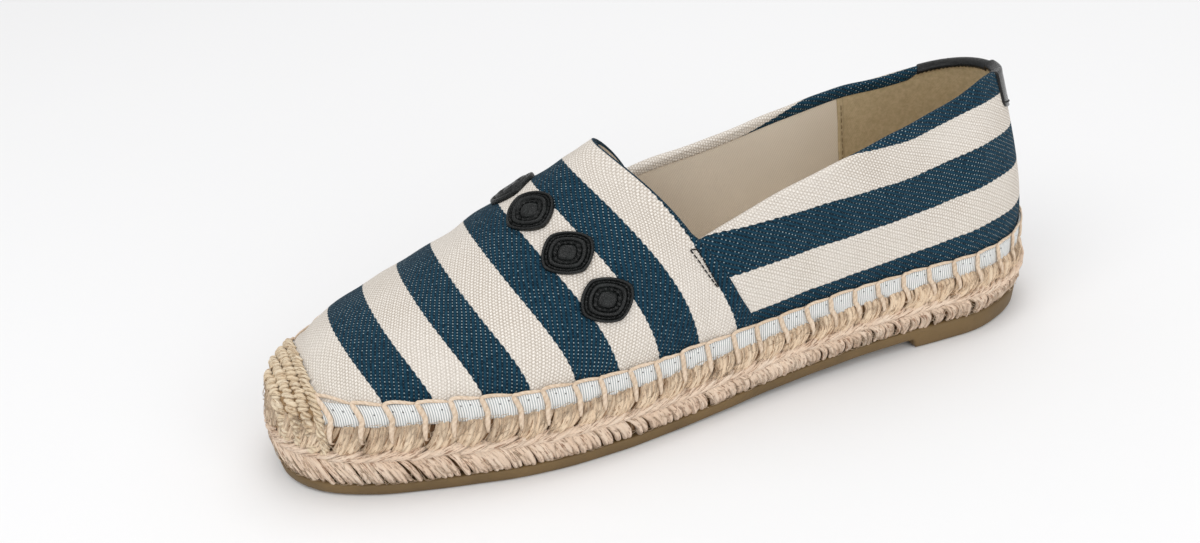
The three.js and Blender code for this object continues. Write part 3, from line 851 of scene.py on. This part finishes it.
def rope_core():
    """The dark, shaded heart of the rope band behind its strands."""
    run, side, place = whole_rim(500)
    points = [on_band(side, place, level, CORE_GROW) for level in np.linspace(0, 1, 9)]

    def heights(at):
        return rubber_top(at) + 0.4, rope_top(at) - 0.4

    floor, deck = (on_sole(side, place, DECK_INSET, heights, level, 0.0) for level in (0, 1))
    soup = cords()
    soup.grid(np.array([floor, *points, deck]), run=run[None, :], round=0.0, seed=0.5)
    return soup.build("rope_core", core_look)


def strand(soup, run, levels, slide, grows, offsets, width, thick, bow=1.6, steps=11, fan=1.0):
    """One bundle of plies on the band from one level to another, moving along by "slide" as it bends over;
    where it starts it is as narrow as "fan" says."""
    t = np.linspace(0, 1, steps)
    seed = rng.random()
    for ply, off in enumerate(offsets):
        wobble = rng.normal(0, 0.12, 3)
        wave = t * 2.2 + ply * 2.1 + seed * 6
        shift = 1 - (1 - t) ** bow
        runs = run + slide * shift + off * (fan + (1 - fan) * t) + 0.16 * np.cos(wave) + wobble[0] + wobble[1] * t
        level = levels[0] + (levels[1] - levels[0]) * t ** (0.5 + bow / 2)
        bulge = grows[0] + grows[1] * np.sin(np.pi * t) ** 0.8 + 0.16 * np.sin(wave) + wobble[2] - 0.06 * off * off
        side, place = at_run(runs)
        path = on_band(side, place, level, bulge)
        taper = np.interp(t, [0, 0.15, 0.5, 0.9, 1], [0.65, 0.97, 1.05, 1.0, 0.85])
        size = (1 + rng.normal(0, 0.07)) * taper
        tube(soup, path, outward_of_band(side, place), width * size, thick * size, around=7,
             twist=t * 2.0, seed=(seed + ply * 0.173) % 1.0)


def outward_of_band(side, place):
    n = on_band(side, place, 0.5, 1.0) - on_band(side, place, 0.5, 0.0)
    n[..., 2] = 0
    n[np.linalg.norm(n, axis=-1) < 0.2] = [0, -1, 0]
    return unit(n)


def rope_rows():
    """The upper row of bundles, one to a stitch, the finer lower row and the twisted ridge between them."""
    total = RIM_END - RIM_TOE
    upper, lower = cords(), cords()
    plies = np.linspace(-3.6, 3.6, 6)
    for k in range(-1, int(total / STITCH)):
        start = RIBBON_START + FIRST_LEG + 1.6 + k * STITCH + rng.normal(0, 0.25)
        strand(upper, start, (0.50, 0.95), 5.4 + rng.normal(0, 0.4), (-1.25, 0.9), plies, 1.85, 1.6, fan=0.62)
    count = int(total / RIDGE_PITCH)
    for k in range(count):
        start = RIM_TOE + k * total / count + rng.normal(0, 0.3)
        step = rng.normal(0, 0.014, 2)
        strand(lower, start, (0.43 + step[0], 0.57 + step[1]), 9.2, (-1.0, 1.35), (-1.0, 0.0, 1.0), 1.3, 1.3,
               bow=1.05)
    count = int(total / LOWER_PITCH)
    for k in range(count):
        start = RIM_TOE + k * total / count + rng.normal(0, 0.2)
        foot = -0.005 + rng.normal(0, 0.012)
        strand(lower, start, (0.48, foot), 5.2 + rng.normal(0, 0.4), (-0.8, 0.62), (0.0,), 1.95, 1.2,
               bow=1.9, steps=10)
    return upper.build("rope_upper", jute_look), lower.build("rope_lower", lower_look)


STRAYS, STRAY_WIDTH = 1800, 0.17


def stray_fibres():
    """Fine loose fibres lying on the rope and standing off it."""
    soup = cords()
    for _ in range(STRAYS):
        run = rng.uniform(RIM_TOE, RIM_END)
        level = rng.uniform(0.04, 0.98)
        length = rng.uniform(2.0, 6.5)
        slope = rng.uniform(-0.5, 0.5) + (0.85 if level > 0.5 else -0.95)
        t = np.linspace(0, 1, 7)
        bend = rng.normal(0, 0.4)
        side, place = at_run(run + np.cos(slope + bend * t) * length * t)
        path = on_band(side, place, np.clip(level + np.sin(slope + bend * t) * length * t / 18, 0.02, 1.02),
                       0.1 + rng.uniform(0.0, 0.75) * np.sin(np.pi * t))
        tube(soup, path, outward_of_band(side, place), STRAY_WIDTH, STRAY_WIDTH, around=3, seed=rng.random())
    return soup.build("stray_fibres", jute_look)


for piece in (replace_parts(rope_core(), "midsole"), *rope_rows(), stray_fibres()):
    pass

# ---------------------------------------------------------------- outsole and insole


RUBBER_RINGS = (  # inset, rise and share of the width
    (8, 0, 0), (8, 0, 0.5), (8, 0, 1), (2.2, 0, 1), (1.5, 0.05, 1), (1.1, 0.16, 1), (0.8, 0.5, 1),
    (0.55, 0.84, 1), (0.7, 0.95, 1), (1.2, 1, 1), (8, 1, 1), (8, 1, 0),
)
FOOTBED_END, FOOTBED_THICK = 0.94, 3.0


def rubber_heights(at):
    return lifted(at) * clamp((at - HEEL_BREAST) / BREAST_SLOPE), rubber_top(at)


def outsole():
    """Thin rubber with softly rounded edges and a stepped heel."""
    run, side, place = whole_rim(900)
    wobble = 0.05 * np.sin(run / 7.0) + 0.05 * np.sin(run / 2.9)
    rings = [on_sole(side, place, inset + (wobble if 0 < rise < 1 else 0), rubber_heights, rise, share)
             for inset, rise, share in RUBBER_RINGS]
    soup = Soup("run")
    soup.grid(np.array(rings), flip=True, run=run[None, :])
    return soup.build("outsole_rubber", rubber_look)


def footbed():
    """The insole, slightly cupped, with a soft rounded edge."""
    places = (1 - np.cos(np.linspace(0, np.pi, 160))) / 2 * FOOTBED_END
    across = np.linspace(-1, 1, 61)
    place, c = broad(places[None, :], across[:, None])
    side = np.sign(c) + (c == 0)
    at = station(place, FOOT_INSET)
    edge = off_skin(side, place, turn_at(at, FOOTBED_THICK), -INNER_CLOTH)
    middle = along(LAST, "shift", at) - MIDDLE
    narrowed = round_end((FOOTBED_END - place) * LENGTH, (36, 2.2))
    x = middle + (edge[..., 0] - middle) * narrowed * np.abs(c)
    y = LENGTH * (0.5 - at) + (edge[..., 1] - LENGTH * (0.5 - at)) * np.abs(c)
    cup = 0.5 * np.abs(c) ** 3 - 2.2 * clamp((np.abs(c) - 0.94) / 0.06) ** 2
    points = np.stack([x, y, rope_top(0.5 - y / LENGTH) + FOOTBED_THICK + cup], -1)
    soup = cloth()
    soup.grid(points, warp=y, weft=x)
    return soup.build("footbed", lining_look)


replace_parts(outsole(), "outsole")
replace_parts(footbed(), "insole")

# ---------------------------------------------------------------- woven toe cap

CAP_EDGE, CAP_BACK = 0.945, 6  # the cap's back edge on the ridge, and how far it runs back at the sides
CAP_Y = LENGTH * (0.5 - CAP_EDGE) - 2.8
CAP_ROWS, CAP_PITCH = 6, 2.75


def wrap_point(side, place, v, grow):
    """The toe's surface as one sheet: v from -1 to 0 goes up the rope band, and from 0 to 1 up over the canvas."""
    on_cloth = off_skin(side, place, clamp(v) * HALF_TURN, grow)
    on_rope = on_band(side, place, 1 + np.minimum(v, 0), grow - 1.3)
    share = ease((v + 0.06) / 0.12)[..., None]
    return on_rope * (1 - share) + on_cloth * share


def wrap_edge(side, v, ahead, grow):
    """Where a line "ahead" of the cap's back edge runs on that sheet, and whether the toe reaches it there."""
    def beyond(place):
        p = wrap_point(side, place, v, grow)
        return p[..., 1] - (CAP_Y + CAP_BACK * (p[..., 0] / 60) ** 2 - ahead)

    ends = np.full(v.shape, 0.78), np.ones(v.shape)
    low, high = search(*ends, lambda place: beyond(place) > 0, steps=26)
    return (low + high) / 2, beyond(ends[1]) < 0


def toe_cap_base():
    """The shaded cloth that shows between the knuckles."""
    soup = cords()
    v = np.concatenate([np.linspace(-CAP_SKIRT, 0, 16)[:-1], np.linspace(0, 1, 30)])
    for side in (1.0, -1.0):
        sides = np.full(v.shape, side)
        start, _ = wrap_edge(sides, v, 0.2, 0.3)
        share = np.linspace(0, 1, 40)
        place = start[:, None] + (1 - start[:, None]) * share[None, :]
        points = wrap_point(side, place, v[:, None], 0.25)
        soup.grid(points, flip=side > 0, run=points[..., 0] * 3, round=v[:, None] * 9, seed=0.4)
    return soup.build("toe_cap_base", cap_shade)


def knot(soup, centre, tangent, normal, angle, length, width, thick):
    """A knuckle of two plies lying at an angle to its row."""
    across = np.cross(normal, tangent)
    direction = tangent * np.cos(angle) + across * np.sin(angle)
    side_way = np.cross(normal, direction)
    t = np.linspace(-1, 1, 9)
    seed = rng.random()
    for ply in (-1, 1):
        bow = ply * width * 0.24 + 0.16 * np.sin(t * 2.4 + ply)
        path = centre + direction * (t * length / 2)[:, None] + side_way * bow[:, None]
        path = path + normal * (0.45 * (1 - t * t) - 0.5 * np.abs(t) ** 3)[:, None]
        taper = np.interp(np.abs(t), [0, 0.7, 1], [1.0, 0.9, 0.5])
        tube(soup, path, normal, width * 0.6 * taper, thick * taper, around=8, twist=t * 1.2,
             seed=(seed + ply * 0.1) % 1)


def toe_cap():
    """Rows of knuckled cord across the toe, behind a twisted cord along the back edge."""
    soup = cords()
    v = np.concatenate([np.linspace(-CAP_SKIRT, 0, 40)[:-1], np.linspace(0, 1, 90)])
    heart = np.array([1.5, -98.0, 14.0])  # the knuckles face away from here
    for row in range(CAP_ROWS):
        ahead = 0.4 + CAP_PITCH * row
        grow = np.full(v.shape, 0.55 if row else 0.75)
        halves = []
        for side in (1.0, -1.0):
            sides = np.full(v.shape, side)
            place, reached = wrap_edge(sides, v, ahead, grow)
            points = wrap_point(sides, place, v, grow)[reached]
            halves.append(points if side > 0 else points[::-1])
        path = np.concatenate(halves)
        if len(path) < 6:
            break
        run = arc(path)
        count = max(int(run[-1] / (2.45 if row else 1.75)), 3)
        at = (np.arange(count) + 0.15 + 0.5 * (row % 2)) * run[-1] / count
        at = at[at < run[-1]]
        spot, ahead_spot, behind = (np.stack([np.interp(at + step, run, path[:, i]) for i in range(3)], -1)
                                    for step in (0.0, 0.8, -0.8))
        tangent = unit(ahead_spot - behind)
        for k in range(len(at)):
            rough = (spot[k] - heart) * (1, 1.1, 1.25)
            normal = unit(rough - tangent[k] * (rough @ tangent[k]))
            size = 1 + rng.normal(0, 0.08)
            place = spot[k] + rng.normal(0, 0.13, 3)
            angle, spread, *sizes = (0.95, 0.16, 3.1, 2.5, 1.75) if row else (0.55, 0.08, 3.0, 1.7, 1.5)
            knot(soup, place, tangent[k], normal, angle + rng.normal(0, spread), *(size * own for own in sizes))
    return soup.build("toe_cap_wrap", cap_look)


for piece in (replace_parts(toe_cap(), "toe_cap"), toe_cap_base()):
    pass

# ---------------------------------------------------------------- heel tab

TAB_START, TAB_END = run_of(1.0, 0.031), run_of(-1.0, 0.072)  # its ends on the outer and the inner side
TAB_SEAM = 0.86  # the stitches' and their groove's share of its depth


def tab_depth(run):
    """How far the tab reaches down outside: less at its outer end than at its inner one."""
    return np.interp(run, [TAB_START, -8, TAB_END], [10.6, 13.0, 13.6])


def heel_tab():
    """Black leather folded over the back of the collar, with a pinked edge inside."""
    run = np.linspace(TAB_START, TAB_END, 190)
    side, place = at_run(run)
    at = station(place, FOOT_INSET)
    top = collar_height(side, at)
    ends = np.minimum(run - run[0], run[-1] - run)
    deep = tab_depth(run) - 1.6 * (1 - clamp(ends / 2.0)) ** 2
    pinked = 0.4 * np.abs(np.mod(run / 1.7, 1) - 0.5) * 2
    soft = 0.08 * np.sin(run / 5.0)
    lift = 0.1 + 0.62 * clamp(ends / 0.5) ** 0.5

    def outside(down, grow):
        return off_skin(side, place, turn_at(at, top - down), grow)

    def inside(down, grow):
        return outside(down, -INNER_CLOTH - grow)

    rows = [outside(deep, 0.02), outside(deep - 0.1, lift * 0.7), outside(deep - 0.5, lift)]
    for share in (0.9, TAB_SEAM, 0.82, 0.62, 0.4, 0.2, 0.07):
        rows.append(outside(deep * share, lift + soft - (0.16 if share == TAB_SEAM else 0)))
    start, end = outside(0, lift), inside(0, lift * 0.9)
    for angle in np.pi * np.arange(9) / 8:
        point = (start + end) / 2 + (start - end) / 2 * np.cos(angle)
        point[:, 2] += (0.35 + 1.1 * lift) * np.sin(angle)
        rows.append(point)
    rows += [inside(0.3, lift * 0.9), inside(0.5 + pinked, lift * 0.7), inside(0.8 + pinked, 0.02)]
    soup = Soup("run")
    soup.grid(np.array(rows), run=run[None, :])
    return soup.build("heel_tab_leather", leather_look)


def arch(low, rise, count):
    return low + rise * np.sin(np.linspace(0, np.pi, count))


def tab_stitches():
    soup = cords()
    for run in np.arange(TAB_START + 1.2, TAB_END - 1.2 - 1.5, 2.3):
        runs = np.linspace(run, run + 1.5, 6)
        side, place = at_run(runs)
        at = station(place, FOOT_INSET)
        turn = turn_at(at, collar_height(side, at) - tab_depth(runs) * TAB_SEAM)
        path = off_skin(side, place, turn, arch(0.66, 0.16, 6))
        tube(soup, path, outward(side, place, turn_at(at, 40 + 0 * at)), 0.45, 0.35, around=6, seed=0.2)
    return soup.build("heel_tab_stitches", black_thread)


for piece in (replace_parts(heel_tab(), "heel_tab"), tab_stitches()):
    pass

# ---------------------------------------------------------------- badges, bar-tacks and seams


def place_on_stripe(side, q, form):
    """Where stripe line q of the vamp crosses a line whose turn and height at each station form(at) gives."""
    def behind(place):
        return stripe_of_vamp(side, place, *form(station(place, FOOT_INSET))) > q

    return search(np.full(q.shape, 0.40), np.ones(q.shape), behind)[0]


class VampSheet:
    """Points of the vamp by stripe line and by distance from the ridge, positive to the outer side."""

    def __init__(self, q_low, q_high, count=28):
        self.q = np.linspace(q_low, q_high, count)
        turn = np.concatenate([np.linspace(0.02, HALF_TURN, 120), np.linspace(HALF_TURN, 0.02, 120)[1:]])
        side = np.concatenate([np.full(120, -1.0), np.full(119, 1.0)])
        q, t = np.broadcast_arrays(self.q[:, None], turn[None, :])
        s = np.broadcast_to(side[None, :], q.shape)
        place = place_on_stripe(s, q, lambda at: (t, height_at(at, t)))
        self.points, self.normals = skin(s, place, t), outward(s, place, t)
        run = arc(self.points, 1)
        self.run = run - run[:, 119:120]

    def at(self, q, distance, grow):
        """A point by stripe line, distance from the ridge and distance off the cloth."""
        k = np.clip(((q - self.q[0]) / (self.q[1] - self.q[0])), 0, len(self.q) - 1.001)
        i, f = int(k), k - int(k)
        first, second = (np.array([np.interp(distance, self.run[row], values[row, :, c])
                                   for values in (self.points, self.normals) for c in range(3)])
                         for row in (i, i + 1))
        mixed = first * (1 - f) + second * f
        return mixed[:3] + mixed[3:] / np.linalg.norm(mixed[3:]) * grow


BADGE_STRIPE = 5.5
BADGES = (-44.0, -26.6, -9.2, 8.2, 25.8, 43.2)  # distances from the ridge
BADGE_ACROSS, BADGE_ALONG, BADGE_POWER = 8.6, 7.1, 1.55
BADGE_RINGS = (  # share of the outline and height off the cloth
    (1.0, -0.1), (1.0, 0.7), (0.985, 1.15), (0.95, 1.45), (0.905, 1.45), (0.87, 1.15), (0.845, 0.75), (0.80, 0.62),
    (0.755, 0.72), (0.73, 1.1), (0.69, 1.6), (0.64, 1.75), (0.59, 1.6), (0.555, 1.15), (0.53, 0.8), (0.46, 0.68),
    (0.40, 0.75), (0.37, 1.1), (0.32, 1.55), (0.25, 1.7), (0.13, 1.75), (0.001, 1.75),
)


def badge_outline(angle):
    across, row = np.abs(np.cos(angle) / BADGE_ACROSS), np.abs(np.sin(angle) / BADGE_ALONG)
    return (across**BADGE_POWER + row**BADGE_POWER) ** (-1 / BADGE_POWER)


def badges():
    """A row of plain padded leather lozenges, each with piped edges and stitched grooves."""
    sheet = VampSheet(BADGE_STRIPE - 0.85, BADGE_STRIPE + 0.85)
    leather_soup, stitch_soup = Soup("run"), cords()
    angles = np.linspace(0, 2 * np.pi, 72, endpoint=False)
    for centre in BADGES:
        tilt = rng.normal(0, 0.03)

        def spot(share, angle, grow):
            radius = badge_outline(angle) * share
            return sheet.at(BADGE_STRIPE + radius * np.cos(angle + tilt) / STRIPE,
                            centre + radius * np.sin(angle + tilt), grow)

        points = np.array([[spot(share, a, grow + 0.06 * np.sin(3 * a + centre)) for a in angles]
                           for share, grow in BADGE_RINGS])
        leather_soup.grid(points, wrap=True)
        for share, count in ((0.80, 24), (0.475, 13)):
            for k in range(count):
                a, d = 2 * np.pi * (k + 0.1) / count, 3.3 / count
                bend = np.linspace(0, 1, 5)
                path = np.array([spot(share, a + d * u, 0.72 + 0.3 * np.sin(np.pi * u)) for u in bend])
                normal = unit(spot(share, a, 2.0) - spot(share, a, 0.0))
                tube(stitch_soup, path, normal, 0.5, 0.36, around=6, seed=0.6)
    return leather_soup.build("badges", badge_look), stitch_soup.build("badge_stitches", badge_thread)


def on_stripe(side, q, height, grow):
    """A point of the vamp on stripe line q at a height above the rope."""
    q, height = broad(q, height)
    place = place_on_stripe(side, q, lambda at: (turn_at(at, height), height))
    return on_upper(side, place, height, grow), outward(side, place, turn_at(station(place, FOOT_INSET), height))


TACK_TOP, TACK_FOOT = 33.0, 20.5
TACK_LINES = (7.99, 7.88)  # stripe lines of its two long sides


def bar_tacks():
    """A narrow stitched box beside each end of the throat."""
    soup = cords()
    for side in (1.0, -1.0):
        lines = []
        for q, lean in ((TACK_LINES[0], 0), (TACK_LINES[1], 0.08)):
            dashes = np.linspace(TACK_TOP, TACK_FOOT, 9)
            for a, b in zip(dashes[:-1], dashes[1:]):
                heights = np.linspace(a, a + (b - a) * 0.72, 5)
                lines.append((q + (TACK_TOP - heights) / 13 * lean, heights))
        lines.append((np.linspace(*TACK_LINES, 6), np.full(6, TACK_TOP)))
        for q, heights in lines:
            path, normal = on_stripe(side, q, heights, arch(0.5, 0.12, len(heights)))
            tube(soup, path, normal, 0.4, 0.32, around=6, seed=0.1)
    return soup.build("bar_tacks", black_thread)


def lining_seams():
    """Where the heel lining laps the front lining: a folded edge and a row of stitches, on both inner walls."""
    soup, stitch_soup = cloth(), cords()
    for side in (1.0, -1.0):
        top = float(collar_height(side, station(LINING_SEAM, FOOT_INSET))) - 2.2
        heights = np.linspace(3.5, top, 40)
        columns = LINING_SEAM + np.array([-0.0085, -0.006, 0.0, 0.0015, 0.0018])
        grows = np.array([0.1, 0.5, 0.62, 0.5, 0.1])
        place = columns + 0.0004 * np.sin(heights / 3.1)[:, None]
        points = on_upper(side, place, heights[:, None], -WALL - 0.1 - grows)
        soup.grid(points, flip=side < 0, warp=heights[:, None], weft=place * 250, stripe=1.0)
        for low in np.arange(5.0, top - 2.0, 2.4):
            path = on_upper(side, LINING_SEAM - 0.0035, np.linspace(low, low + 1.5, 5), -WALL - arch(0.72, 0.1, 5))
            tube(stitch_soup, path, -outward(side, LINING_SEAM, 0.3), 0.34, 0.26, around=6, seed=0.4)
    return soup.build("lining_seams", lining_look), stitch_soup.build("lining_stitches", heel_thread)


for piece in (*badges(), bar_tacks(), *lining_seams()):
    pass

# ---------------------------------------------------------------- floor, light and camera

LIGHTS = (  # name, position, size and power
    ("key", (0.45, -0.75, 1.15), 0.9, 5.0),
    ("fill", (1.2, 0.35, 0.65), 1.0, 5.0),
    ("top", (-0.35, 0.35, 1.4), 0.9, 3.6),
)


def studio():
    """A pale floor, an even white surround and three large soft lights."""
    mesh = bpy.data.meshes.new("floor")
    size = 6.0
    mesh.from_pydata([(-size, -size, 0), (size, -size, 0), (size, size, 0), (-size, size, 0)], [], [(0, 1, 2, 3)])
    floor = in_scene("floor", mesh)
    m = Nodes("studio_floor")
    m.set(Base_Color=m.mix(m.noise(3.0), (0.86, 0.86, 0.865, 1), (0.88, 0.88, 0.885, 1)), Roughness=0.9,
          Specular_IOR_Level=0.1)
    mesh.materials.append(m.material)
    world = bpy.data.worlds.new("studio")
    world.use_nodes = True
    background = world.node_tree.nodes["Background"]
    background.inputs["Color"].default_value = (1.0, 1.0, 1.0, 1.0)
    background.inputs["Strength"].default_value = 0.72
    bpy.context.scene.world = world
    for name, position, size, power in LIGHTS:
        data = bpy.data.lights.new(name, "AREA")
        data.size = size
        data.energy = power
        light = in_scene(name, data)
        light.location = position
        light.rotation_euler = (Vector((0, 0, 0.03)) - light.location).to_track_quat("-Z", "Y").to_euler()


CAMERA_ANGLES = (71.47, 28.59, -4.09)  # azimuth, elevation and roll in degrees
CAMERA_TARGET, CAMERA_DISTANCE = (-14.97, -14.25, 27.6), 0.49784


def camera():
    """The photograph's viewpoint: to the outer side and a little ahead, looking down, with a slight roll."""
    azimuth, elevation, roll = np.radians(CAMERA_ANGLES)
    target = Vector(CAMERA_TARGET) * MM
    back = Vector((np.sin(azimuth) * np.cos(elevation), -np.cos(azimuth) * np.cos(elevation), np.sin(elevation)))
    right = (-back).cross(Vector((0, 0, 1))).normalized()
    up = right.cross(-back)
    rolled_right = right * np.cos(roll) + up * np.sin(roll)
    rolled_up = up * np.cos(roll) - right * np.sin(roll)
    data = bpy.data.cameras.new("camera")
    data.lens = 47.09
    data.sensor_width = 36.0
    data.clip_start = 0.01
    obj = in_scene("camera", data)
    turn = Matrix((rolled_right, rolled_up, back)).transposed()
    obj.matrix_world = Matrix.Translation(target + back * CAMERA_DISTANCE) @ turn.to_4x4()
    bpy.context.scene.camera = obj


studio()
camera()
bpy.context.scene.view_settings.view_transform = "Standard"
